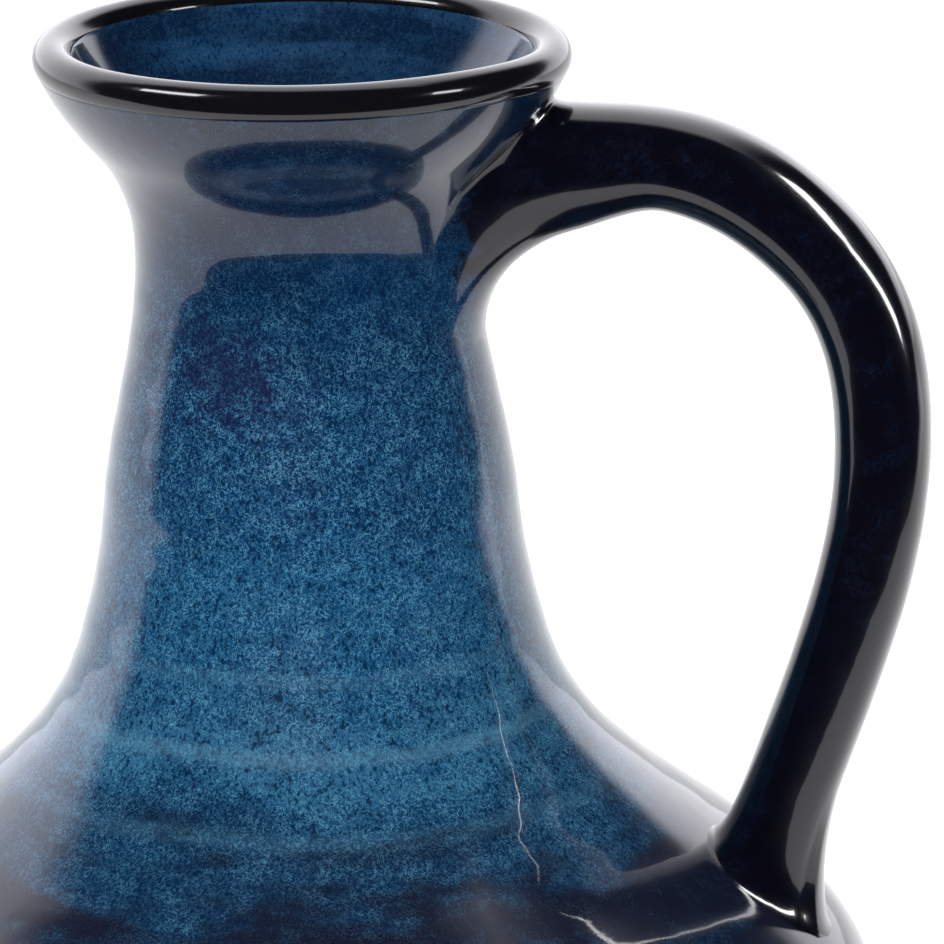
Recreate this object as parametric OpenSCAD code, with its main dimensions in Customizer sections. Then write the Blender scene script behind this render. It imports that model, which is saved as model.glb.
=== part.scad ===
// One-handled stoneware jug: two thrown sections and a thrown neck joined with slip,
// a rolled lip, an added foot, a pulled handle on two thumbed clay roots, and its coats of glaze.
// Origin: on the vessel's axis, in the plane it stands on. +Z is up and the handle points along +X.

/* [Vessel] */
// Height from the table to the crest of the lip
jug_h = 290; // [240:1:350]
// Widest diameter of the belly, over the glaze
belly_d = 198; // [165:1:238]
// Height of the widest line, where the belly and shoulder sections join
belly_h = 105; // [87:1:126]
// Height at which the shoulder has turned up into the neck
neck_foot_h = 183; // [170:1:195]
// Diameter of the neck where the shoulder has turned into it
neck_foot_d = 82; // [70:1:98]
// Diameter of the neck at its narrowest
waist_d = 59; // [50:1:66]
// Depth of the narrowest line below the crest of the lip
waist_drop = 38; // [32:1:46]
// Height of the joint between shoulder and neck above the neck's foot
neck_joint_rise = 25; // [21:1:30]
// Diameter of the neck at that joint
neck_joint_d = 72; // [66:1:80]
// Widest diameter of the mouth, over the glazed lip
mouth_d = 91.6; // [77:1:110]
// Lean of the mouth's wall where it meets the lip, from level
mouth_lean = 66; // [55:1:75]
// Thickness of the clay wall
wall_t = 5.6; // [4.6:0.1:6.8]
// Thickness of the floor at its middle
floor_t = 7; // [6:0.5:9]

/* [Foot] */
// Outside diameter of the foot ring
foot_d = 116; // [96:1:140]
// Height of the foot ring
foot_h = 8; // [6:0.5:10]
// Width of the foot ring where it meets the belly
foot_w = 10; // [8:0.5:12]
// Radius of the foot ring's worn edges
foot_edge_r = 1.5; // [1:0.1:2]
// Bare clay left above the foot ring, along the wall
bare_w = 9; // [6:0.5:12]

/* [Handle] */
// Thickness of the clay handle, in the plane of its bend
handle_t = 16.2; // [13.5:0.1:19.5]
// Its thickness where it lands on the shoulder
handle_low_t = 14.8; // [12:0.1:18]
// Width of the clay handle, across its bend
handle_w = 18; // [15:0.5:22]
// How far the handle's centre line stands out past the belly
handle_past = 0; // [-6:0.5:8]
// Depth of the handle's top run below the crest of the lip
handle_drop = 20.6; // [18:0.1:23]
// Depth of the handle's furthest point below the crest of the lip
handle_out_drop = 68.5; // [57:0.5:82]
// How far inside the belly's widest line the handle's centre line lands on the shoulder
landing_in = 21; // [17:0.5:26]
// Direction in which it lands, from level
landing_lean = -106; // [-115:1:-95]
// Reach of the thumbed clay along the handle at each root
root_len = 12; // [10:0.5:15]
// Spread of the thumbed clay round the upper root
upper_spread = 2.5; // [2:0.5:4]
// Length of the thumbed tail below the upper root
upper_tail = 21; // [17:0.5:24]
// Reach of that tail along the handle's underside
upper_tail_len = 30; // [25:0.5:34]
// Spread of the thumbed clay round the lower root
lower_spread = 4; // [3:0.5:5]

/* [Slip and glaze] */
// Thickness of the slip in each joint
slip_t = 0.8; // [0.6:0.1:1.2]
// Depth of the scored groove in each joint
groove_t = 2.4; // [1.8:0.1:3]
// Thickness of the outer glaze
glaze_t = 0.6; // [0.4:0.1:0.8]
// Thickness of the glaze inside
liner_t = 0.6; // [0.4:0.1:0.8]

/* [Hidden] */
$fn = 96;
pull = 0.36;        // share of a chord that a station's lean holds for
sides = 20;         // flats round the handle
lip_steps = 12;     // steps round half a turn of the lip
foot_lean = 40;     // lean of the wall above the foot ring
turn_in = 8.5;      // the shoulder's turn, inside the widest line
turn_up = 27;       // and above it
flare_in = 9.6;     // the mouth's flare at mid height, inside the lip's widest line
flare_drop = 19;    // and below the lip's crest
start_in = 6;       // the handle's line starts this far inside the wall, to be coped to it
top_run = 24;       // length of the handle's level top run, out from the wall
bend_in = 12.6;     // the handle's knuckle, inside its furthest point
bend_up = 34.4;     // and above it
slope_out = 3;      // bow of the handle's lower run, out from the straight
end_in = 17;        // the handle's line ends this far past the wall, to be coped to it
film = 0.3;         // clay smeared thin at a root's far edge

lip_r = (glaze_t + wall_t + liner_t) / 2;
lip_c = [mouth_d / 2 - lip_r, jug_h - lip_r];

// A station is [distance from the axis, height, lean of the curve from level].
st_foot = [foot_d / 2, foot_h, foot_lean];
st_bare = [foot_d / 2 + bare_w * cos(foot_lean), foot_h + bare_w * sin(foot_lean), foot_lean];
st_wide = [belly_d / 2, belly_h, 90];
st_turn = [belly_d / 2 - turn_in, belly_h + turn_up, 134];
st_neck = [neck_foot_d / 2, neck_foot_h, 107];
st_joint = [neck_joint_d / 2, neck_foot_h + neck_joint_rise, 95];
st_waist = [waist_d / 2, jug_h - waist_drop, 90];
st_flare = [mouth_d / 2 - flare_in, jug_h - flare_drop, 49];
st_mouth = [lip_c.x + lip_r * sin(mouth_lean), lip_c.y - lip_r * cos(mouth_lean), mouth_lean];

function aim(lean) = [cos(lean), sin(lean)];
// Points of the curve from station a up to, and without, station b.
function curve(a, b, n) =
    let (p = [a.x, a.y], q = [b.x, b.y], reach = pull * norm(q - p))
    let (p1 = p + reach * aim(a[2]), q1 = q - reach * aim(b[2]))
    [for (i = [0 : n - 1]) let (t = i / n, s = 1 - t)
        s * s * s * p + 3 * s * s * t * p1 + 3 * s * t * t * q1 + t * t * t * q];

// The glazed outline from the foot ring's top to the lip, with 6 or 12 points to a stretch,
// and the indices of the stations that a piece starts or ends at.
outline = concat(
    curve(st_foot, st_bare, 1), curve(st_bare, st_wide, 12), curve(st_wide, st_turn, 6),
    curve(st_turn, st_neck, 12), curve(st_neck, st_joint, 6), curve(st_joint, st_waist, 6),
    curve(st_waist, st_flare, 6), curve(st_flare, st_mouth, 6), [[st_mouth.x, st_mouth.y]]
);
i_bare = 1;
i_wide = i_bare + 12;
i_neck = i_wide + 18;
i_joint = i_neck + 6;
i_top = len(outline) - 1;

// Outward normal of the outline at point i, which turns from the first stretch's to the lip's.
function normal(i) =
    let (d = i == 0 ? aim(foot_lean)
           : i == i_top ? aim(mouth_lean)
           : outline[i + 1] - outline[i - 1])
    [d.y, -d.x] / norm(d);
function inset(depth) = [for (i = [0 : i_top]) outline[i] - depth * normal(i)];
function part_of(points, a, b) = [for (i = [a : b]) points[i]];
function backward(points) = [for (i = [len(points) - 1 : -1 : 0]) points[i]];

clay_out = inset(glaze_t);
clay_in = inset(glaze_t + wall_t);
liner_in = inset(glaze_t + wall_t + liner_t);

// A scored joint at point i: level 0 is the lower piece's edge, level 1 the upper piece's.
function step_up(points, i, level) =
    points[i] + level * slip_t * (points[i + 1] - points[i]) / norm(points[i + 1] - points[i]);
function scored_edge(i, level) =
    let (a = step_up(clay_out, i, level), c = step_up(clay_in, i, level))
    let (down = [normal(i).y, -normal(i).x])
    [a, (a + c) / 2 + groove_t * down, c];

// Half a turn over the wall's end, of glaze or of clay.
function lip_arc(centre, r) =
    [for (i = [0 : lip_steps]) centre + r * aim(mouth_lean - 90 + i * 180 / lip_steps)];
glaze_lip = lip_arc(lip_c, lip_r);
clay_lip = lip_arc(lip_c + (liner_t - glaze_t) / 2 * normal(i_top), wall_t / 2);

module turned(points) rotate_extrude() polygon(points);

// ---- vessel ----
module foot_ring() {
    clay_r = clay_out[0].x;
    inner_r = clay_r - foot_w;
    e = foot_edge_r;
    color("#8f7f70") turned(concat(
        [for (a = [180 : 15 : 270]) [inner_r + e, e] + e * aim(a)],
        [for (a = [270 : 15 : 360]) [clay_r - e, e] + e * aim(a)],
        [[clay_r, clay_out[0].y], [inner_r, clay_out[0].y]]
    ));
}

module belly() {
    base = clay_out[0].y;
    color("#9a8874") turned(concat(
        [[0, base]],
        part_of(clay_out, 0, i_wide - 1),
        scored_edge(i_wide, 0),
        backward(part_of(clay_in, 0, i_wide - 1)),
        [[0, base + floor_t]]
    ));
}

module joint_slip(i) {
    color("#c9bda9") turned(concat(scored_edge(i, 0), backward(scored_edge(i, 1))));
}
module belly_joint_slip() joint_slip(i_wide);
module neck_joint_slip() joint_slip(i_joint);

module shoulder() {
    color("#9a8874") turned(concat(
        backward(scored_edge(i_wide, 1)),
        part_of(clay_out, i_wide + 1, i_joint - 1),
        scored_edge(i_joint, 0),
        backward(part_of(clay_in, i_wide + 1, i_joint - 1))
    ));
}

module neck() {
    color("#9a8874") turned(concat(
        backward(scored_edge(i_joint, 1)),
        part_of(clay_out, i_joint + 1, i_top),
        backward(part_of(clay_in, i_joint + 1, i_top))
    ));
}

module lip() {
    color("#8a7866") turned(clay_lip);
}

// ---- handle ----
// The clay wall's radius, and how steeply it stands, by height.
wall_r_at = [for (p = clay_out) [p.y, p.x]];
steep_at = [for (i = [0 : i_top]) [clay_out[i].y, normal(i).x]];
// The shoulder's height by distance from the axis, from the neck's foot out to the belly.
shoulder_z_at = [for (i = [i_neck : -1 : i_wide]) [clay_out[i].x, clay_out[i].y]];

top_z = jug_h - handle_drop;
handle_reach = belly_d / 2 + handle_past;
landing_r = belly_d / 2 - landing_in;
land = [landing_r, lookup(landing_r, shoulder_z_at)];
out_z = jug_h - handle_out_drop;
top_r = lookup(top_z, wall_r_at);
// The handle's centre line: level out of the neck, round the bend, in and down to the shoulder.
h_start = [top_r - start_in, top_z, 0];
h_top = [top_r + top_run, top_z, -4];
h_bend = [handle_reach - bend_in, out_z + bend_up, -44];
h_out = [handle_reach, out_z, -90];
h_slope = [(handle_reach + land.x) / 2 + slope_out, (out_z + land.y) / 2, -108];
h_land = [land.x, land.y, landing_lean];
h_end = [land.x + end_in * cos(landing_lean), land.y + end_in * sin(landing_lean), landing_lean];

route = concat(
    curve(h_start, h_top, 7), curve(h_top, h_bend, 6), curve(h_bend, h_out, 6),
    curve(h_out, h_slope, 6), curve(h_slope, h_land, 9), curve(h_land, h_end, 4), [[h_end.x, h_end.y]]
);
last = len(route) - 1;
upper_rings = 9;            // rings that the upper root reaches over
lower_first = last - 9;     // ring after which the lower root reaches over the handle

// Unit vector across the handle in the plane of its bend, on its outer side.
function across(k) =
    let (a = route[max(k - 1, 0)], b = route[min(k + 1, last)])
    [-(b - a).y, (b - a).x] / norm(b - a);
// Direction of point j of a ring, and the clay handle's point there.
function spoke(k, j) =
    let (a = 360 * j / sides, n = across(k), t = handle_t + (handle_low_t - handle_t) * k / last)
    [t / 2 * cos(a) * n.x, handle_w / 2 * sin(a), t / 2 * cos(a) * n.y];
function core(k, j) = [route[k].x, 0, route[k].y] + spoke(k, j);
// How far a point stands off the clay wall.
function gap(p) =
    max(0, (norm([p.x, p.y]) - lookup(p.z, wall_r_at)) * lookup(p.z, steep_at));
// Thumbed clay over the handle: it spreads as it nears the wall, and the upper root has a tail below.
function spread(k, j) =
    let (g = gap(core(k, j)), under = pow((1 - cos(360 * j / sides)) / 2, 3))
    let (upper = max(0, 1 - g / (root_len + (upper_tail_len - root_len) * under)))
    let (lower = max(0, 1 - g / root_len))
    k < upper_rings ? film + upper * upper * (upper_spread + (upper_tail - upper_spread) * under)
    : k > lower_first ? film + lower * lower * lower_spread
    : 0;
// A point of the handle's surface, over the roots, with depth more on top of it.
function skin(k, j, depth) = core(k, j) + (spread(k, j) + depth) * spoke(k, j) / norm(spoke(k, j));

function ring(k, level) = [for (j = [0 : sides - 1])
    level == 0 ? core(k, j) : level == 1 ? skin(k, j, 0) : skin(k, j, glaze_t)];
function wrap(k, a, b) = [for (j = [0 : sides - 1]) let (i = (j + 1) % sides)
    each [[a + k * sides + j, a + k * sides + i, b + k * sides + i],
          [a + k * sides + j, b + k * sides + i, b + k * sides + j]]];

// A closed tube over rings a to b of one level.
module tube(a, b, level) {
    n = b - a;
    points = [for (k = [a : b]) each ring(k, level)];
    polyhedron(points, concat(
        [for (k = [0 : n - 1]) each wrap(k, 0, sides)],
        [[for (j = [sides - 1 : -1 : 0]) j]],
        [[for (j = [0 : sides - 1]) n * sides + j]]
    ));
}
// A sleeve between two levels over rings a to b, open where the wall cuts it.
module sleeve(a, b, inner, outer) {
    n = b - a;
    far = (n + 1) * sides;
    points = concat([for (k = [a : b]) each ring(k, outer)], [for (k = [a : b]) each ring(k, inner)]);
    polyhedron(points, concat(
        [for (k = [0 : n - 1]) each wrap(k, 0, sides)],
        [for (k = [0 : n - 1]) each [for (f = wrap(k, far, far + sides)) [f[0], f[2], f[1]]]],
        [for (f = wrap(0, far, 0)) f],
        [for (f = wrap(n, 0, far)) f]
    ));
}
// Everything inside the clay wall's outer surface, for coping the handle's ends to it.
module within_wall() turned(concat([[0, clay_out[0].y]], clay_out, [[0, clay_out[i_top].y]]));

module handle() {
    color("#3a3f55") difference() {
        tube(0, last, 0);
        within_wall();
    }
}

module root(a, b) {
    color("#6f6256") difference() {
        sleeve(a, b, 0, 1);
        within_wall();
    }
}
module upper_root() root(0, upper_rings - 1);
module lower_root() root(lower_first + 1, last);

// ---- glaze ----
module body_glaze() {
    color("#28608a") difference() {
        turned(concat(part_of(outline, i_bare, i_top), backward(part_of(clay_out, i_bare, i_top))));
        tube(0, upper_rings + 2, 2);
        tube(lower_first - 2, last, 2);
    }
}

module lip_glaze() {
    color("#14161f") turned(concat(glaze_lip, backward(clay_lip)));
}

module liner_glaze() {
    color("#2c6791") turned(concat(
        [[0, clay_out[0].y + floor_t]],
        clay_in,
        backward(liner_in),
        [[0, clay_out[0].y + floor_t + liner_t]]
    ));
}

module handle_glaze() {
    color("#12142b") difference() {
        sleeve(0, last, 1, 2);
        within_wall();
    }
}

foot_ring();
belly();
belly_joint_slip();
shoulder();
neck_joint_slip();
neck();
lip();
handle();
upper_root();
lower_root();
body_glaze();
lip_glaze();
liner_glaze();
handle_glaze();
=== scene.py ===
import math
import bpy
import bmesh
from mathutils import Matrix, Vector, noise
from mathutils.bvhtree import BVHTree


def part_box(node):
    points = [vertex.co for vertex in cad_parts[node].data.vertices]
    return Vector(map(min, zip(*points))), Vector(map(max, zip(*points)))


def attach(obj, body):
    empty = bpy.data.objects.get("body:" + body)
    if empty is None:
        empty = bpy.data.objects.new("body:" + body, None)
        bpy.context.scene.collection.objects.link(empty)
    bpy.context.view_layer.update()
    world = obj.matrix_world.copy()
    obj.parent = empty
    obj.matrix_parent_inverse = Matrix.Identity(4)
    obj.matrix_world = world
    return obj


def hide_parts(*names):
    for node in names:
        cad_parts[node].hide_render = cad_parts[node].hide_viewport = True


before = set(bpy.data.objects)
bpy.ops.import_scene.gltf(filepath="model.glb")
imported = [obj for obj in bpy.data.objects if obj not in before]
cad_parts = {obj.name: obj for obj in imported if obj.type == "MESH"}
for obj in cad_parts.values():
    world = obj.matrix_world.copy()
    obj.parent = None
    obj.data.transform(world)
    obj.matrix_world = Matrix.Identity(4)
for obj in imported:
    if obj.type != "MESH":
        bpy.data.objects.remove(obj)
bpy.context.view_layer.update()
scene = bpy.context.scene
scene.view_settings.view_transform = "Standard"
print("frame loaded,", len(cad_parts), "parts")

mm = 0.001


def smooth(low, high, value):
    t = min(max((value - low) / (high - low), 0), 1)
    return t * t * (3 - 2 * t)


def aim(lean):
    return Vector((math.cos(math.radians(lean)), math.sin(math.radians(lean))))


def bend(a, b, step, pull=0.36):
    # points of the curve from station a up to, and without, station b; a station is (radius, height, lean)
    p, q = Vector(a[:2]), Vector(b[:2])
    reach = pull * (q - p).length
    p1, q1 = p + reach * aim(a[2]), q - reach * aim(b[2])
    count = max(2, round((q - p).length / step))
    points = []
    for i in range(count):
        t = i / count
        s = 1 - t
        points.append(s * s * s * p + 3 * s * s * t * p1 + 3 * s * t * t * q1 + t * t * t * q)
    return points


def inset(points, depth):
    moved = []
    for i, p in enumerate(points):
        along = points[min(i + 1, len(points) - 1)] - points[max(i - 1, 0)]
        moved.append(p - depth * Vector((along.y, -along.x)).normalized())
    return moved


def drawProfile(bm, points, closed):
    # a line of (radius, height) in mm, beside the axis
    verts = [bm.verts.new((p[0] * mm, 0, p[1] * mm)) for p in points]
    edges = [bm.edges.new(pair) for pair in zip(verts, verts[1:])]
    if closed:
        edges.append(bm.edges.new((verts[-1], verts[0])))
    return verts, edges


def turn(bm, geom, steps):
    bmesh.ops.spin(bm, geom=geom, axis=(0, 0, 1), cent=(0, 0, 0), dvec=(0, 0, 0),
                   angle=2 * math.pi, steps=steps, use_merge=True, use_duplicate=False)
    bmesh.ops.remove_doubles(bm, verts=bm.verts, dist=0.00002)
    bmesh.ops.recalc_face_normals(bm, faces=bm.faces)


def finishPiece(bm, name, material, replaced=()):
    mesh = bpy.data.meshes.new(name)
    for face in bm.faces:
        face.smooth = True
    bm.to_mesh(mesh)
    bm.free()
    piece = bpy.data.objects.new(name, mesh)
    scene.collection.objects.link(piece)
    mesh.materials.append(material)
    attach(piece, "root")
    if replaced:
        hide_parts(*replaced)
    print(name, len(mesh.vertices), "vertices")
    return piece


def newMaterial(name):
    material = bpy.data.materials.new(name)
    material.use_nodes = True
    tree = material.node_tree
    return material, tree, tree.nodes["Principled BSDF"]


def add(tree, kind, settings=None, **inputs):
    node = tree.nodes.new("ShaderNode" + kind)
    for key, value in (settings or {}).items():
        setattr(node, key, value)
    for key, value in inputs.items():
        socket = node.inputs[int(key[1:])] if key[0] == "_" else node.inputs[key]
        if isinstance(value, bpy.types.NodeSocket):
            tree.links.new(value, socket)
        else:
            socket.default_value = value
    return node


def maths(tree, operation, a, b=0.0):
    return add(tree, "Math", {"operation": operation}, _0=a, _1=b).outputs[0]


def between(tree, value, low, high, a=0.0, b=1.0):
    node = add(tree, "MapRange", {"interpolation_type": "SMOOTHSTEP"}, Value=value)
    for key, number in (("From Min", low), ("From Max", high), ("To Min", a), ("To Max", b)):
        node.inputs[key].default_value = number
    return node.outputs[0]


def blendColour(tree, factor, a, b):
    # a and b are each a socket or (red, green, blue)
    node = add(tree, "Mix", {"data_type": "RGBA"})
    for socket, value in ((node.inputs[0], factor), (node.inputs[6], a), (node.inputs[7], b)):
        if isinstance(value, bpy.types.NodeSocket):
            tree.links.new(value, socket)
        else:
            socket.default_value = (*value, 1) if isinstance(value, tuple) else value
    return node.outputs[2]


def ramp(tree, value, stops):
    node = add(tree, "ValToRGB", Fac=value)
    band = node.color_ramp
    while len(band.elements) < len(stops):
        band.elements.new(0.5)
    for element, (place, colour) in zip(band.elements, stops):
        element.position = place
        element.color = (*colour, 1)
    return node.outputs[0]


def grain(tree, coords, scale, detail, rough, stretch=None, twist=0.0):
    if stretch:
        coords = add(tree, "Mapping", Vector=coords, Scale=stretch).outputs[0]
    node = add(tree, "TexNoise", Vector=coords, Scale=scale, Detail=detail, Roughness=rough, Distortion=twist)
    return node.outputs[0]


def scaled(tree, value, middle, amount):
    # the value's swing about its middle, times the amount
    return maths(tree, "MULTIPLY", maths(tree, "SUBTRACT", value, middle), amount)


def awayFrom(tree, value, middle):
    return maths(tree, "ABSOLUTE", maths(tree, "SUBTRACT", value, middle))


glaze = {
    "full": 0.29,        # the jug's height, in metres
    "curl": 1450,        # pale curls to a metre
    "fleck": 1500,       # dark flecks
    "cluster": 260,      # gatherings of both
    "cloud": 42,         # slow drift in tone
    "ringed": 150,       # bands that follow the throwing, and the slow ripple of the surface
    "light": (0.120, 0.400, 0.580),
    "deep": (0.002, 0.015, 0.048),
    "violet": (0.020, 0.050, 0.125),
    "plum": (0.0085, 0.0095, 0.024),
    # the colour of the painted highlight lines along the throwing ridges
    "ridge": (0.140, 0.330, 0.470),
    "rim": (0.004, 0.004, 0.006),
    "rimFleck": (0.02, 0.05, 0.10),
    "liner": (0.013, 0.060, 0.148),
    "linerBand": (0.003, 0.014, 0.048),
    "handle": (0.0021, 0.0020, 0.0058),
    "handleFleck": (0.006, 0.022, 0.062),
    "handleEdge": (0.0305, 0.0335),       # metres from the axis between which the handle's dip begins
    "blush": (0.012, 0.010, 0.050),       # a violet patch on the neck
    "blushMiddle": (-0.010, -0.030, 0.237),
    # tone by height, as a share of the jug's height; the bright peak at 0.60 is a painted highlight band
    # where a throwing ring catches the light
    "tones": [(0.00, (0.004, 0.015, 0.048)), (0.30, (0.004, 0.016, 0.052)), (0.50, (0.004, 0.015, 0.048)),
              (0.535, (0.005, 0.030, 0.088)), (0.56, (0.005, 0.036, 0.105)), (0.580, (0.008, 0.058, 0.145)),
              (0.600, (0.022, 0.108, 0.222)), (0.630, (0.007, 0.060, 0.152)), (0.69, (0.006, 0.062, 0.165)),
              (0.75, (0.003, 0.036, 0.115)), (0.81, (0.003, 0.028, 0.100)), (0.87, (0.001, 0.019, 0.066)),
              (0.92, (0.001, 0.007, 0.032)), (1.00, (0.002, 0.006, 0.022))],
    # how far the plum-black pools cover it, by height
    "pools": [(0.00, 0.47), (0.30, 0.49), (0.46, 0.55), (0.50, 0.60), (0.519, 0.58), (0.533, 0.45),
              (0.546, 0.42), (0.557, 0.475), (0.568, 0.35), (0.61, 0.22), (1.00, 0.20)],
    # painted highlights along throwing ridges, where the rings catch the light: height in metres, strength
    "ridgeHighlights": [(0.1745, 0.22), (0.1868, 0.10), (0.1625, 0.10)],
    "ridgeHighlightWidth": (0.0019, 0.0004),       # where a ridge starts to show, and where it is at its full strength
}


def glazeGrains(tree, coords):
    # the noises that every coat of glaze is mixed from
    return {
        "cloud": grain(tree, coords, glaze["cloud"], 3, 0.55),
        "ringed": grain(tree, coords, glaze["ringed"], 3, 0.55, (0.16, 0.16, 1)),
        "curl": grain(tree, coords, glaze["curl"], 2, 0.6, None, 0.5),
        "fleck": grain(tree, coords, glaze["fleck"], 3, 0.65, (1, 1, 0.6)),
        "cluster": grain(tree, coords, glaze["cluster"], 4, 0.7),
        "ripple": grain(tree, coords, glaze["ringed"], 1, 0.4),
    }


def paleCurls(tree, height, level, curls, cluster):
    # the curls gather in clusters, and thin out under the rim and low on the shoulder
    shown = maths(tree, "MULTIPLY", curls, between(tree, cluster, 0.36, 0.62, 0.42, 1.0))
    shown = maths(tree, "MULTIPLY", shown, between(tree, height, 0.226, 0.264, 1.0, 0.16))
    return maths(tree, "MULTIPLY", shown, between(tree, level, 0.50, 0.585, 0.30, 1.0))


def speckle(tree, tone, lighter, grains):
    gathered = maths(tree, "ADD", grains["fleck"], scaled(tree, grains["cluster"], 0.5, 0.35))
    darker = maths(tree, "MULTIPLY", between(tree, gathered, 0.475, 0.365), 0.88)
    violet = maths(tree, "MULTIPLY", between(tree, grains["cluster"], 0.50, 0.68), 0.30)
    colour = blendColour(tree, violet, tone, glaze["violet"])
    colour = blendColour(tree, maths(tree, "MULTIPLY", lighter, 0.66), colour, glaze["light"])
    return blendColour(tree, darker, colour, glaze["deep"])


# painted highlights: pale lines along the throwing ridges, where the rings catch the light
def addRidgeHighlights(tree, colour, height, cloud):
    sway = maths(tree, "ADD", height, scaled(tree, cloud, 0.5, 0.004))
    for ridgeHeight, strength in glaze["ridgeHighlights"]:
        shown = between(tree, awayFrom(tree, sway, ridgeHeight), *glaze["ridgeHighlightWidth"], 0.0, strength)
        colour = blendColour(tree, shown, colour, glaze["ridge"])
    return colour


def addPools(tree, colour, height, lighter, grains):
    stops = [(place, (cover,) * 3) for place, cover in glaze["pools"]]
    pool = ramp(tree, maths(tree, "DIVIDE", height, glaze["full"]), stops)
    shade = maths(tree, "MULTIPLY", grains["ringed"], 0.65)
    shade = maths(tree, "ADD", shade, maths(tree, "MULTIPLY", grains["cloud"], 0.35))
    patch = maths(tree, "SUBTRACT", pool, shade)
    patch = maths(tree, "ADD", patch, scaled(tree, grains["fleck"], 0.5, 0.20))
    cover = maths(tree, "SUBTRACT", 0.92, maths(tree, "MULTIPLY", lighter, 0.6))
    shown = maths(tree, "MULTIPLY", between(tree, patch, -0.06, 0.09), cover)
    return blendColour(tree, shown, colour, glaze["plum"])


def addBlush(tree, colour, coords, grains):
    reach = {"operation": "DISTANCE"}
    near = add(tree, "VectorMath", reach, _0=coords, _1=glaze["blushMiddle"]).outputs["Value"]
    ragged = scaled(tree, grains["cluster"], 0.5, 0.030)
    ragged = maths(tree, "ADD", ragged, scaled(tree, grains["fleck"], 0.5, 0.012))
    shown = between(tree, maths(tree, "ADD", near, ragged), 0.012, 0.003)
    return blendColour(tree, maths(tree, "MULTIPLY", shown, 0.6), colour, glaze["blush"])


def addHandleDip(tree, colour, parts, curls, cluster):
    # the handle is dipped darker, and turns blue where it runs into the neck
    level = add(tree, "CombineXYZ", _0=parts.outputs[0], _1=parts.outputs[1]).outputs[0]
    away = add(tree, "VectorMath", {"operation": "LENGTH"}, _0=level).outputs["Value"]
    edge = maths(tree, "ADD", away, scaled(tree, cluster, 0.5, 0.012))
    fleck = maths(tree, "MULTIPLY", curls, between(tree, cluster, 0.45, 0.65, 0.0, 0.35))
    dip = blendColour(tree, fleck, glaze["handle"], glaze["handleFleck"])
    return blendColour(tree, between(tree, edge, *glaze["handleEdge"]), colour, dip)


def polish(tree, shader, grains):
    # a glassy coat over a slightly rougher body, with a slow ripple and fine pits
    rough = maths(tree, "ADD", 0.12, maths(tree, "MULTIPLY", grains["fleck"], 0.12))
    tree.links.new(rough, shader.inputs["Roughness"])
    shader.inputs["IOR"].default_value = 1.5
    shader.inputs["Specular IOR Level"].default_value = 0.25
    shader.inputs["Coat Weight"].default_value = 0.75
    shader.inputs["Coat Roughness"].default_value = 0.025
    shader.inputs["Coat IOR"].default_value = 1.5
    pits = maths(tree, "ADD", grains["ripple"], maths(tree, "MULTIPLY", grains["fleck"], 0.03))
    bump = add(tree, "Bump", Height=pits, Strength=0.5, Distance=0.00010)
    tree.links.new(bump.outputs[0], shader.inputs["Normal"])
    tree.links.new(bump.outputs[0], shader.inputs["Coat Normal"])


def glazeMaterial(name, kind):
    material, tree, shader = newMaterial(name)
    coords = add(tree, "TexCoord").outputs["Object"]
    parts = add(tree, "SeparateXYZ", Vector=coords)
    height = parts.outputs[2]
    grains = glazeGrains(tree, coords)
    drift = scaled(tree, grains["cloud"], 0.5, 0.040)
    drift = maths(tree, "ADD", drift, scaled(tree, grains["ringed"], 0.5, 0.030))
    level = maths(tree, "DIVIDE", maths(tree, "ADD", height, drift), glaze["full"])
    tone = ramp(tree, level, glaze["tones"])
    if kind == "liner":       # thinner inside, with darker throwing bands
        banded = between(tree, grains["ringed"], 0.40, 0.62)
        tone = blendColour(tree, banded, glaze["liner"], glaze["linerBand"])
    curls = between(tree, awayFrom(tree, grains["curl"], 0.5), 0.056, 0.006)
    lighter = paleCurls(tree, height, level, curls, grains["cluster"])
    colour = speckle(tree, tone, lighter, grains)
    colour = addRidgeHighlights(tree, colour, height, grains["cloud"])
    colour = addPools(tree, colour, height, lighter, grains)
    colour = addBlush(tree, colour, coords, grains)
    if kind == "lip":         # the glaze breaks black over the rim
        colour = blendColour(tree, maths(tree, "MULTIPLY", lighter, 0.10), glaze["rim"], glaze["rimFleck"])
    if kind == "handle":
        colour = addHandleDip(tree, colour, parts, curls, grains["cluster"])
    tree.links.new(colour, shader.inputs["Base Color"])
    polish(tree, shader, grains)
    return material


def clayMaterial(name, warm, grit, rough):
    material, tree, shader = newMaterial(name)
    coords = add(tree, "TexCoord").outputs["Object"]
    fine = grain(tree, coords, 1900, 3, 0.7)
    mottle = grain(tree, coords, 70, 4, 0.6)
    lines = grain(tree, coords, 700, 2, 0.5, (0.05, 0.05, 1))
    colour = blendColour(tree, mottle, warm, tuple(c * 0.72 for c in warm))
    colour = blendColour(tree, between(tree, fine, 0.56, 0.66, 0.0, grit), colour, (0.07, 0.045, 0.03))
    scored = between(tree, lines, 0.4, 0.7, 0.0, 0.25)
    colour = blendColour(tree, scored, colour, tuple(c * 0.6 for c in warm))
    tree.links.new(colour, shader.inputs["Base Color"])
    tree.links.new(maths(tree, "ADD", rough, maths(tree, "MULTIPLY", fine, 0.15)), shader.inputs["Roughness"])
    relief = maths(tree, "ADD", fine, maths(tree, "MULTIPLY", lines, 0.8))
    bump = add(tree, "Bump", Height=relief, Strength=0.6, Distance=0.0001)
    tree.links.new(bump.outputs[0], shader.inputs["Normal"])
    return material


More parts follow.
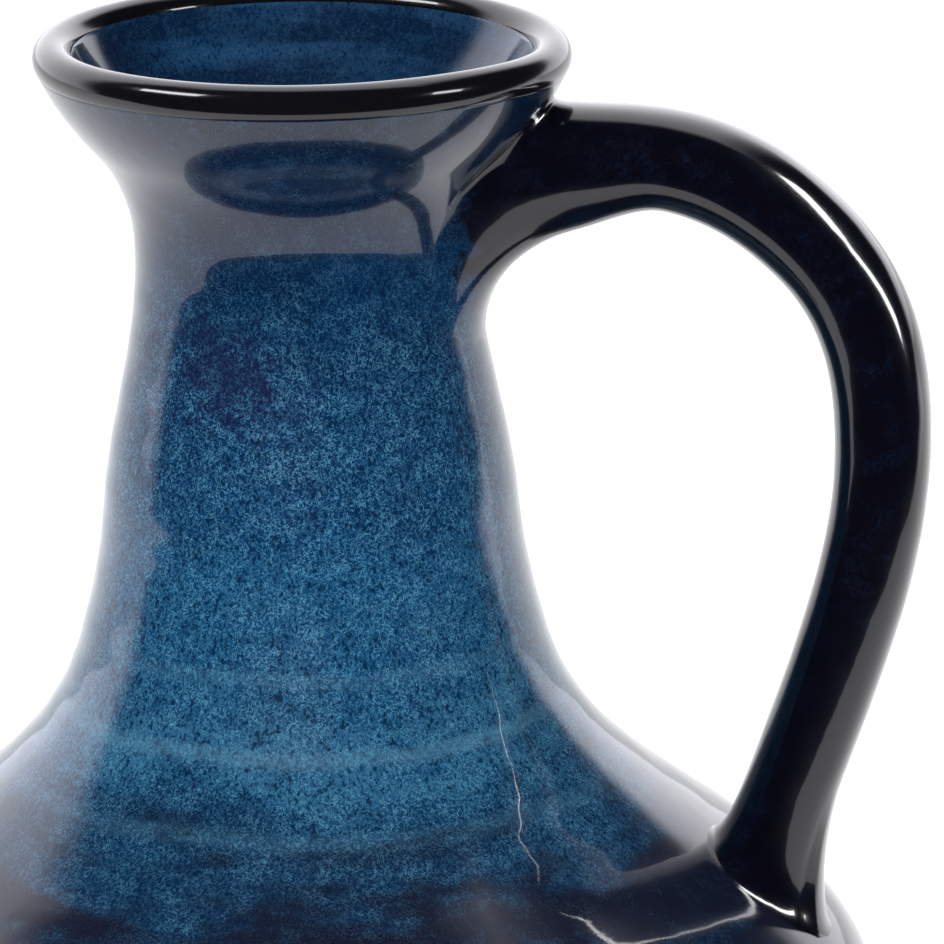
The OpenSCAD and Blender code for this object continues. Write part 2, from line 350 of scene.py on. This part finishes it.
vesselGlaze = glazeMaterial("vesselGlaze", "vessel")
lipGlazeMaterial = glazeMaterial("lipGlaze", "lip")
linerGlazeMaterial = glazeMaterial("linerGlaze", "liner")
handleGlazeMaterial = glazeMaterial("handleGlaze", "handle")
bareClay = clayMaterial("bareStoneware", (0.36, 0.29, 0.23), 0.7, 0.62)
slipClay = clayMaterial("joiningSlip", (0.48, 0.41, 0.33), 0.25, 0.55)
print("materials made")

for nodeName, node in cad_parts.items():
    finish = slipClay if nodeName.endswith("slip") or nodeName.endswith("root") else bareClay
    for i in range(len(node.material_slots)):
        node.material_slots[i].material = finish

vessel = {
    "stations": [(64.89, 13.79, 40), (99, 105, 90), (90.5, 132, 134), (41, 183, 107),
                 (36, 208, 95), (29.5, 252, 90), (36.2, 271, 49)],
    "steps": [2.4, 1.5, 1.3, 1.3, 1.3, 1.2, 1.1],     # spacing of the rows in each stretch
    "lipCentre": (42.4, 286.6), "lipRadius": 3.4, "mouthLean": 66,
    "coat": 0.6, "wall": 6.8,
    "lipProud": 0.06,
    "sides": 180,
    "ringPitch": 8.6, "ringDepth": 0.11, "wander": 0.22, "dents": 0.05, "pitting": 0.03,
    "beadRise": 0.35, "beadReach": 4.5, "lineWander": 1.3,
    "rimTilt": 0.9, "rimDrop": 0.15, "rimWave": 0.35, "rimFront": -80,
    "floorTop": 16.06,
}


def outlinePoints(coarse=1.0):
    lipAim = aim(vessel["mouthLean"])
    end = (vessel["lipCentre"][0] + vessel["lipRadius"] * lipAim.y,
           vessel["lipCentre"][1] - vessel["lipRadius"] * lipAim.x, vessel["mouthLean"])
    stations = vessel["stations"] + [end]
    points = []
    for a, b, step in zip(stations, stations[1:], vessel["steps"]):
        points += bend(a, b, step * coarse)
    return points + [Vector(end[:2])]


def lipPoints(radius, count):
    centre = Vector(vessel["lipCentre"])
    return [centre + radius * aim(vessel["mouthLean"] - 90 + 180 * i / count) for i in range(1, count)]


def wallDepth(co):
    # how far the thrown surface lies inside its outline, in mm:
    # a spiral of finger rings, slow wander, small dents
    angle = math.atan2(co.y, co.x)
    z = co.z / mm
    uneven = 0.9 * noise.noise(Vector((co.x * 9, co.y * 9, co.z * 38)))
    phase = z / vessel["ringPitch"] + angle / (2 * math.pi) + uneven
    ring = 0.5 + 0.5 * math.cos(2 * math.pi * phase)
    patchy = 0.7 + 0.6 * noise.noise(Vector((co.x * 14, co.y * 14, co.z * 25 + 4)))
    strength = vessel["ringDepth"] * (0.6 + 0.3 * smooth(195, 175, z)) * patchy
    wander = 0.5 + 0.5 * noise.noise(co * 17 + Vector((3, 7, 1)))
    dent = 0.5 + 0.5 * noise.noise(co * 75)
    small = 0.5 + 0.5 * noise.noise(co * 190)
    return strength * ring + vessel["wander"] * wander + vessel["dents"] * dent + vessel["pitting"] * small


def workSurface(bm, level, share=1.0):
    # presses the throwing marks into every face point flagged on that level
    bm.normal_update()
    for v in bm.verts:
        if v[level] > 0:
            v.co -= v.normal * wallDepth(v.co) * share * (1 - 0.75 * smooth(262, 284, v.co.z / mm)) * mm


def tiltRim(bm):
    # the rim dips a little at the back, and isn't quite level all round
    for v in bm.verts:
        if v.co.z > 0.262:
            angle = math.atan2(v.co.y, v.co.x)
            drop = vessel["rimTilt"] * (0.5 - 0.5 * math.cos(angle - math.radians(160)))
            front = math.cos(angle - math.radians(vessel["rimFront"]))
            slack = 1 - smooth(0.2, 0.95, front)        # none at the front, which is drawn up straighter
            wave = 0.5 + 0.5 * noise.noise(Vector((math.cos(angle) * 1.3, math.sin(angle) * 1.3, 5)))
            drop = drop * slack + vessel["rimDrop"] + vessel["rimWave"] * slack * wave
            v.co.z -= drop * smooth(262, 286, v.co.z / mm) * mm


def shapeGlazeLine(bm, level):
    # a rounded bead where the dip stopped, on a line that isn't level
    lineAim = aim(vessel["stations"][0][2])
    bm.normal_update()
    for v in bm.verts:
        z = v.co.z / mm
        if z > 45:
            continue
        if v[level] > 0:
            fromLine = max(0, (z - vessel["stations"][0][1]) / lineAim.y)
            rise = vessel["beadRise"] * smooth(0, 1.2, fromLine) * smooth(vessel["beadReach"], 1.5, fromLine)
            v.co += v.normal * (rise - 0.55 * (1 - smooth(0, 1.0, fromLine))) * mm
        around = v.co.xy.normalized()
        shift = noise.noise(Vector((around.x * 1.7, around.y * 1.7, 2)))
        shift += 0.3 * noise.noise(Vector((around.x * 6, around.y * 6, 9)))
        shift *= vessel["lineWander"] * smooth(45, 16, z) * mm
        v.co += Vector((around.x * lineAim.x, around.y * lineAim.x, lineAim.y)) * shift


def buildVesselGlaze():
    bm = bmesh.new()
    level = bm.verts.layers.float.new("outside")
    front, back = outlinePoints(), inset(outlinePoints(4), vessel["coat"])
    verts, edges = drawProfile(bm, front + back[::-1], True)
    for v in verts[:len(front)]:
        v[level] = 1
    turn(bm, verts + edges, vessel["sides"])
    workSurface(bm, level)
    shapeGlazeLine(bm, level)
    tiltRim(bm)
    bmesh.ops.recalc_face_normals(bm, faces=bm.faces)
    tree = BVHTree.FromBMesh(bm)
    finishPiece(bm, "vesselGlaze", vesselGlaze, ("body_glaze",))
    return tree


def buildLipGlaze():
    # the rim's own dark dip, a little proud of the blue, with rounded edges
    centre, radius, lean = Vector(vessel["lipCentre"]), vessel["lipRadius"], vessel["mouthLean"]
    edge = [(1.0, -0.08), (0.8, -0.03), (0.5, 0.02), (0.25, vessel["lipProud"]), (0, vessel["lipProud"])]
    outer = [centre + (radius + rise) * aim(lean - 90) - run * aim(lean) for run, rise in edge]
    inner = [centre + (radius + rise) * aim(lean + 90) - run * aim(lean) for run, rise in edge[::-1]]
    front = outer + lipPoints(radius + vessel["lipProud"], 26) + inner
    back = lipPoints(radius - vessel["coat"] + 0.05, 12)[::-1]
    bm = bmesh.new()
    level = bm.verts.layers.float.new("outside")
    verts, edges = drawProfile(bm, front + back, True)
    for v in verts[:len(front)]:
        v[level] = 1
    turn(bm, verts + edges, vessel["sides"])
    workSurface(bm, level)
    tiltRim(bm)
    return finishPiece(bm, "lipGlaze", lipGlazeMaterial, ("lip_glaze",))


def buildClaySection(name, points, node):
    # a section of the thrown wall under the glaze
    bm = bmesh.new()
    level = bm.verts.layers.float.new("clay")
    verts, edges = drawProfile(bm, points, True)
    for v in verts:
        v[level] = 1
    turn(bm, verts + edges, 96)
    workSurface(bm, level)
    tiltRim(bm)
    finishPiece(bm, name, bareClay, (node,))


def buildNeckAndLip():
    line = outlinePoints(1.6)
    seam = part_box("neck")[0].z / mm
    outer = [p for p in inset(line, vessel["coat"]) if p.y > seam + 2.2]
    inner = [p for p in inset(line, vessel["wall"] - vessel["coat"]) if p.y > seam + 2.2]
    buildClaySection("neckClay", outer + inner[::-1], "neck")
    arc = [outer[-1]] + lipPoints(vessel["lipRadius"] - vessel["coat"], 12) + [inner[-1]]
    buildClaySection("lipClay", arc, "lip")


def buildLinerGlaze():
    floorTop, coat = vessel["floorTop"], vessel["coat"]
    fine = [p for p in inset(outlinePoints(1.2), vessel["wall"]) if p.y > 235]
    low = [p for p in inset(outlinePoints(2.6), vessel["wall"]) if floorTop + 1 < p.y < 234]
    front = [Vector((x, floorTop)) for x in (0, 20, 40)]
    front += [Vector((low[0].x - 5, floorTop + 0.2))] + low + fine
    back = [p for p in inset(outlinePoints(5), vessel["wall"] - coat)[::-1] if p.y > floorTop + 2]
    back += [Vector((40, floorTop - coat)), Vector((0, floorTop - coat))]
    bm = bmesh.new()
    level = bm.verts.layers.float.new("inside")
    verts, edges = drawProfile(bm, front + back, False)
    for v in verts[1:len(front)]:
        v[level] = 1
    turn(bm, verts + edges, 144)
    workSurface(bm, level)
    tiltRim(bm)
    bmesh.ops.recalc_face_normals(bm, faces=bm.faces)
    finishPiece(bm, "linerGlaze", linerGlazeMaterial, ("liner_glaze",))


wallTree = buildVesselGlaze()
lipPiece = buildLipGlaze()
buildLinerGlaze()
buildNeckAndLip()

handle = {
    "route": [(58.2, 269.4, -4), (86.4, 255.9, -44), (99, 221.5, -90), (91.5, 182.0, -108),
              (78, 142.5, -106)],
    "start": (46.5, 269.7, -1),
    "stopAt": 163,            # free of the shoulder down to here
    "step": 1.5, "sides": 48,
    "thickTop": 17.4, "thickLow": 16.0, "width": 19.2, "square": 2.35,
    "droop": 6.2, "upperSpread": 5.0, "upperTop": 1.8, "upperTail": 26, "lowerSpread": 3.6, "lowerTail": 9.0,
    "coat": 0.55, "sink": 0.22,
}


def handleRoute():
    stations = [handle["start"]] + handle["route"]
    points = []
    for a, b in zip(stations, stations[1:]):
        points += bend(a, b, handle["step"])
    return [p for i, p in enumerate(points) if not (i > len(points) / 2 and p.y < handle["stopAt"])]


def handleRing(points, k):
    # the section at point k: a soft-cornered oval with a faint ridge where the pulling hand closed
    a, b = points[max(k - 1, 0)], points[min(k + 1, len(points) - 1)]
    ahead = (b - a).normalized()
    outward = Vector((-ahead.y, ahead.x))
    share = k / (len(points) - 1)
    thick = (handle["thickTop"] + (handle["thickLow"] - handle["thickTop"]) * share) / 2
    ring = []
    for j in range(handle["sides"]):
        angle = 2 * math.pi * j / handle["sides"]
        c, s = math.cos(angle), math.sin(angle)
        power = 2 / handle["square"]
        u = math.copysign(abs(c) ** power, c) * thick
        if share < 0.4:       # thicker under the root
            u -= handle["droop"] * smooth(64, 38, points[k].x) * ((1 - c) / 2) ** 2
        w = math.copysign(abs(s) ** power, s) * handle["width"] / 2
        point = Vector(((points[k].x + u * outward.x) * mm, w * mm, (points[k].y + u * outward.y) * mm))
        normal = Vector((c * outward.x, s, c * outward.y)).normalized()
        depth = 0.10 + 0.10 * noise.noise(point * 55) + 0.05 * noise.noise(point * 150)
        ring.append(point - normal * depth * mm)
    return ring, Vector((ahead.x, 0, ahead.y))


def wallUnder(point, ahead):
    # the wall's outer face at a point beside it: straight in at the neck, straight down on the shoulder
    if ahead.z < -0.5:
        found = wallTree.ray_cast(point + Vector((0, 0, 0.03)), Vector((0, 0, -1)))
    else:
        around = Vector((point.x, point.y, 0)).normalized()
        found = wallTree.ray_cast(around * 0.12 + Vector((0, 0, point.z)), -around)
    return found[0], found[1]


def rootRings(ring, ahead, centre, spreadAt, count, under):
    # fillets that leave the handle along its own line and land flat on the wall, or under it
    hitCentre = wallTree.ray_cast(centre, ahead)[0]
    lines = []
    for j, start in enumerate(ring):
        angle = 2 * math.pi * j / handle["sides"]
        hit = wallTree.ray_cast(start, ahead)[0] or wallTree.find_nearest(start)[0]
        out = (hit - hitCentre).normalized()
        spread = max(spreadAt(angle) - 1.5 * under, 0.6) * mm
        foot, footNormal = wallUnder(hit + out * spread, ahead)
        inward = (footNormal * out.dot(footNormal) - out).normalized()
        run = (hit - start).length
        start = start + (centre - start).normalized() * under * mm
        first = start + ahead * max(0.5 * run, run - 1.7 * spread)
        if spread > 0.008 and ahead.z > -0.5:
            first += out * 0.12 * spread
        foot = foot - footNormal * (handle["sink"] + under) * mm
        second = foot + inward * (0.95 * spread if spread < 0.008 else 0.50 * spread)
        lines.append((start, first, second, foot, foot.lerp(hitCentre, 0.12) - footNormal * 2.2 * mm))
    rings = []
    for i in range(1, count + 1):
        t = i / count
        s = 1 - t
        rings.append([s * s * s * p + 3 * s * s * t * a + 3 * s * t * t * b + t * t * t * q
                      for p, a, b, q, end in lines])
    rings.append([line[4] for line in lines])
    return rings


def upperSpread(angle):
    under = ((1 - math.cos(angle)) / 2) ** 3
    over = ((1 + math.cos(angle)) / 2) ** 2
    side = handle["upperSpread"]
    return side + (handle["upperTail"] - side) * under + (handle["upperTop"] - side) * over


def lowerSpread(angle):
    outer = ((1 + math.cos(angle)) / 2) ** 4
    return handle["lowerSpread"] + (handle["lowerTail"] - handle["lowerSpread"]) * outer


def loftRings(rings, closed):
    # a tube through the rings, made by drawing out one circle
    bm = bmesh.new()
    ring = bmesh.ops.create_circle(bm, cap_ends=False, segments=handle["sides"], radius=0.01)["verts"]
    edges = list(bm.edges)
    for v, place in zip(ring, rings[0]):
        v.co = place
    for places in rings[1:]:
        new = bmesh.ops.extrude_edge_only(bm, edges=edges)["geom"]
        fresh = {g for g in new if isinstance(g, bmesh.types.BMVert)}
        ring = [next(e.other_vert(v) for e in v.link_edges if e.other_vert(v) in fresh) for v in ring]
        edges = [g for g in new if isinstance(g, bmesh.types.BMEdge) and all(v in fresh for v in g.verts)]
        for v, place in zip(ring, places):
            v.co = place
    if closed:
        bmesh.ops.holes_fill(bm, edges=[e for e in bm.edges if e.is_boundary], sides=0)
    bmesh.ops.recalc_face_normals(bm, faces=bm.faces)
    bm.normal_update()
    return bm


def buildHandleGlaze():
    points = handleRoute()
    free = [handleRing(points, k) for k in range(len(points))]
    start = Vector((points[0].x * mm, 0, points[0].y * mm))
    end = Vector((points[-1].x * mm, 0, points[-1].y * mm))
    tube = [ring for ring, ahead in free]

    def roots(count, under):
        return (rootRings(tube[0], -free[0][1], start, upperSpread, count, under)[::-1],
                rootRings(tube[-1], free[-1][1], end, lowerSpread, count, under))
    upper, lower = roots(18, 0)
    bm = loftRings(upper + tube + lower, False)
    piece = finishPiece(bm, "handleGlaze", handleGlazeMaterial, ("handle_glaze",))
    shell = piece.modifiers.new("coat", "SOLIDIFY")
    shell.thickness = handle["coat"] * mm
    shell.offset = -1
    upper, lower = roots(12, handle["coat"] + 0.1)      # the smeared clay of each root, just under the glaze
    finishPiece(loftRings(upper, True), "upperRoot", slipClay, ("upper_root",))
    finishPiece(loftRings(lower, True), "lowerRoot", slipClay, ("lower_root",))
    return piece


handlePiece = buildHandleGlaze()

foot = {
    "outer": 57.6, "inner": 47.6, "top": 8.46, "edge": 1.5,
    "flatStep": 0.35, "sideStep": 0.4,        # spacing of the rows
    "groove": 0.12, "pitch": 1.5,             # turning marks
}


def buildFootRing():
    def arc(cx, cz, start, stop):
        return [Vector((cx, cz)) + foot["edge"] * aim(a) for a in range(start, stop + 1, 15)]
    e = foot["edge"]
    inner, outer = arc(foot["inner"] + e, e, 180, 270), arc(foot["outer"] - e, e, 270, 360)
    flatCount = round((foot["outer"] - foot["inner"] - 2 * e) / foot["flatStep"])
    flat = [Vector((foot["inner"] + e + i * foot["flatStep"], 0)) for i in range(1, flatCount)]
    sideCount = round((foot["top"] - e) / foot["sideStep"])
    sideOut = [Vector((foot["outer"], e + i * foot["sideStep"])) for i in range(1, sideCount)]
    sideIn = [Vector((foot["inner"], p.y)) for p in reversed(sideOut)]
    top = [Vector((foot["outer"], foot["top"])), Vector((foot["inner"], foot["top"]))]
    bm = bmesh.new()
    verts, edges = drawProfile(bm, inner + flat + outer + sideOut + top + sideIn, True)
    turn(bm, verts + edges, 144)
    bm.normal_update()
    for v in bm.verts:
        if v.co.z / mm < foot["top"] - 0.3:
            radius = v.co.xy.length / mm
            turns = (radius + v.co.z / mm) / foot["pitch"]
            wave = 0.5 + 0.5 * math.cos(2 * math.pi * turns + math.atan2(v.co.y, v.co.x))
            keep = 0 if v.co.z / mm < 0.02 and wave < 0.5 else 1
            v.co -= v.normal * foot["groove"] * wave * (0.7 + 0.3 * noise.noise(v.co * 200)) * keep * mm
    finishPiece(bm, "footRing", bareClay, ("foot_ring",))


buildFootRing()

room = {
    "turn": 10,
    "edge": [(-6, 2.2), (-2.4, 0.5), (-1.6, 0.05), (-1.0, -0.25), (-0.5, -0.28), (-0.25, -0.37), (0, -0.40),
             (0.25, -0.36), (0.5, -0.24), (0.88, 0.3), (1.2, 0.7), (2.3, 1.1), (6, 3.3), (6, 8), (-6, 8)],
    "glow": 0.75, "glossyDim": 0.30,          # the floor's own light, and how much less of it reflections get
}


def buildFloor():
    bm = bmesh.new()
    bm.faces.new([bm.verts.new((x, y, 0)) for x, y in room["edge"]])
    bmesh.ops.recalc_face_normals(bm, faces=bm.faces)
    if bm.faces[:][0].normal.z < 0:
        bmesh.ops.reverse_faces(bm, faces=bm.faces)
    turned = Matrix.Rotation(math.radians(room["turn"]), 3, "Z")
    bmesh.ops.rotate(bm, verts=bm.verts, cent=(0, 0, 0), matrix=turned)
    mesh = bpy.data.meshes.new("floor")
    bm.to_mesh(mesh)
    bm.free()
    floor = bpy.data.objects.new("floor", mesh)
    scene.collection.objects.link(floor)
    material, tree, shader = newMaterial("paleFloor")
    path = add(tree, "LightPath")
    coords = add(tree, "TexCoord").outputs["Object"]
    tint = grain(tree, coords, 30, 2, 0.5)
    pale = blendColour(tree, tint, (0.86, 0.86, 0.86), (0.84, 0.84, 0.84))
    tree.links.new(pale, shader.inputs["Base Color"])
    shader.inputs["Roughness"].default_value = 0.9
    shader.inputs["Specular IOR Level"].default_value = 0.0
    shader.inputs["Emission Color"].default_value = (1, 1, 1, 1)
    dimmed = maths(tree, "MULTIPLY", path.outputs["Is Glossy Ray"], room["glossyDim"])
    tree.links.new(maths(tree, "SUBTRACT", room["glow"], dimmed), shader.inputs["Emission Strength"])
    mesh.materials.append(material)


buildFloor()

studio = {
    "white": 1.65, "dark": 0.010, "soft": 0.13,
    # the walls are dark on the near side of these planes and white beyond them
    "left": (0.21, 1, -0.2), "leftHigh": (0.21, 1, -0.38), "right": (-0.53, 1, -1.4),
    "tint": (0.985, 0.975, 1.03),
}


def buildWorld():
    world = bpy.data.worlds.new("studio")
    scene.world = world
    world.use_nodes = True
    tree = world.node_tree
    tree.nodes.clear()
    path = add(tree, "LightPath")
    way = add(tree, "TexCoord").outputs["Generated"]
    turned = add(tree, "VectorRotate", {"rotation_type": "Z_AXIS"}, Vector=way)
    turned.inputs["Angle"].default_value = -math.radians(room["turn"])
    flat = turned.outputs[0]

    def beyond(plane):
        product = {"operation": "DOT_PRODUCT"}
        return add(tree, "VectorMath", product, _0=flat, _1=studio[plane]).outputs["Value"]

    across = add(tree, "SeparateXYZ", Vector=flat).outputs[0]
    # the lower flag is on the left only, and the right-hand one stands well to the side
    high = maths(tree, "MAXIMUM", beyond("leftHigh"), maths(tree, "ADD", 0.3, across))
    left = maths(tree, "MINIMUM", beyond("left"), high)
    right = maths(tree, "MAXIMUM", beyond("right"), maths(tree, "SUBTRACT", 0.42, across))
    inside = between(tree, maths(tree, "MINIMUM", left, right), -studio["soft"], studio["soft"])
    glow = maths(tree, "MULTIPLY", inside, studio["white"] - studio["dark"])
    glow = maths(tree, "ADD", studio["dark"], glow)
    camera = path.outputs["Is Camera Ray"]
    unseen = maths(tree, "SUBTRACT", 1.0, camera)
    strength = maths(tree, "ADD", maths(tree, "MULTIPLY", glow, unseen), camera)
    tint = blendColour(tree, camera, studio["tint"], (1, 1, 1))
    background = add(tree, "Background", Color=tint, Strength=strength)
    output = add(tree, "OutputWorld")
    tree.links.new(background.outputs[0], output.inputs[0])


def addLight(name, azimuth, elevation, distance, size, power):
    # a soft box aimed at the neck, which lights the surface but isn't mirrored in it
    target = Vector((0, 0, 0.2))
    data = bpy.data.lights.new(name, "AREA")
    data.shape = "RECTANGLE"
    data.size, data.size_y = size
    data.energy = power
    light = bpy.data.objects.new(name, data)
    a, e = math.radians(azimuth + room["turn"]), math.radians(elevation)
    way = Vector((math.sin(a) * math.cos(e), -math.cos(a) * math.cos(e), math.sin(e)))
    place = way * distance + target
    look = (target - place).to_track_quat("-Z", "Y")
    light.matrix_world = Matrix.Translation(place) @ look.to_matrix().to_4x4()
    light.visible_glossy = False
    light.visible_camera = False
    scene.collection.objects.link(light)


def addStrip(name, start, end, width, power, pieces):
    # a lit strip from start to end, which only the given pieces mirror; each end is a distance to the right
    # of the jug, behind it and above its foot, as the camera sees it
    turned = Matrix.Rotation(math.radians(room["turn"]), 3, "Z")
    a, b = turned @ Vector(start), turned @ Vector(end)
    along, back = (b - a).normalized(), ((a + b) / 2 - Vector((0, 0, 0.2))).normalized()
    side = along.cross(back).normalized()
    data = bpy.data.lights.new(name, "AREA")
    data.shape = "RECTANGLE"
    data.size, data.size_y = width, (b - a).length
    data.energy = power
    light = bpy.data.objects.new(name, data)
    pose = Matrix((side, along, side.cross(along))).transposed().to_4x4()
    if pose.col[2].xyz.dot(back) < 0:
        pose = Matrix((-side, along, (-side).cross(along))).transposed().to_4x4()
    light.matrix_world = Matrix.Translation((a + b) / 2) @ pose
    light.visible_camera = False
    light.visible_diffuse = False
    lit = bpy.data.collections.new(name + "Lit")
    for piece in pieces:
        lit.objects.link(piece)
    light.light_linking.receiver_collection = lit
    scene.collection.objects.link(light)


buildWorld()
addStrip("handleStripHigh", (1.01, 0.03, 1.40), (1.17, -0.64, 1.06), 0.24, 17, [handlePiece])
addStrip("handleStripLow", (1.17, -0.69, 1.01), (1.57, -0.22, 0.38), 0.22, 16, [handlePiece])
addStrip("lipStripLeft", (-0.75, -0.50, 1.35), (-1.20, -0.05, 1.35), 0.28, 8, [lipPiece])
addStrip("lipStripRight", (1.0, -0.60, 0.80), (1.3, -0.42, 0.75), 0.22, 3, [lipPiece])
addLight("frontSoftbox", -14, 24, 2.2, (1.6, 1.6), 40)
addLight("fillSoftbox", 55, 12, 2.2, (1.2, 1.6), 9)
addLight("overheadSoftbox", 0, 82, 1.6, (1.2, 1.2), 7)

view = {
    "distance": 1.2, "height": 0.5451, "turn": 10, "yaw": 1.33, "pitch": 15.52, "roll": -0.79,
    "lens": 275.3, "sensor": 36,
}


def buildCamera():
    data = bpy.data.cameras.new("camera")
    data.lens = view["lens"]
    data.sensor_width = view["sensor"]
    data.clip_start, data.clip_end = 0.05, 60
    camera = bpy.data.objects.new("camera", data)
    yaw, pitch, roll = (math.radians(a) for a in (view["yaw"] - view["turn"], view["pitch"], view["roll"]))
    ahead = Vector((math.sin(yaw) * math.cos(pitch), math.cos(yaw) * math.cos(pitch), -math.sin(pitch)))
    right = ahead.cross(Vector((0, 0, 1))).normalized()
    up = right.cross(ahead)
    right, up = right * math.cos(roll) + up * math.sin(roll), up * math.cos(roll) - right * math.sin(roll)
    turn = math.radians(view["turn"])
    place = Vector((math.sin(turn) * view["distance"], -math.cos(turn) * view["distance"], view["height"]))
    pose = Matrix((right, up, -ahead)).transposed().to_4x4()
    camera.matrix_world = Matrix.Translation(place) @ pose
    scene.collection.objects.link(camera)
    scene.camera = camera


buildCamera()
print("camera and lights placed")
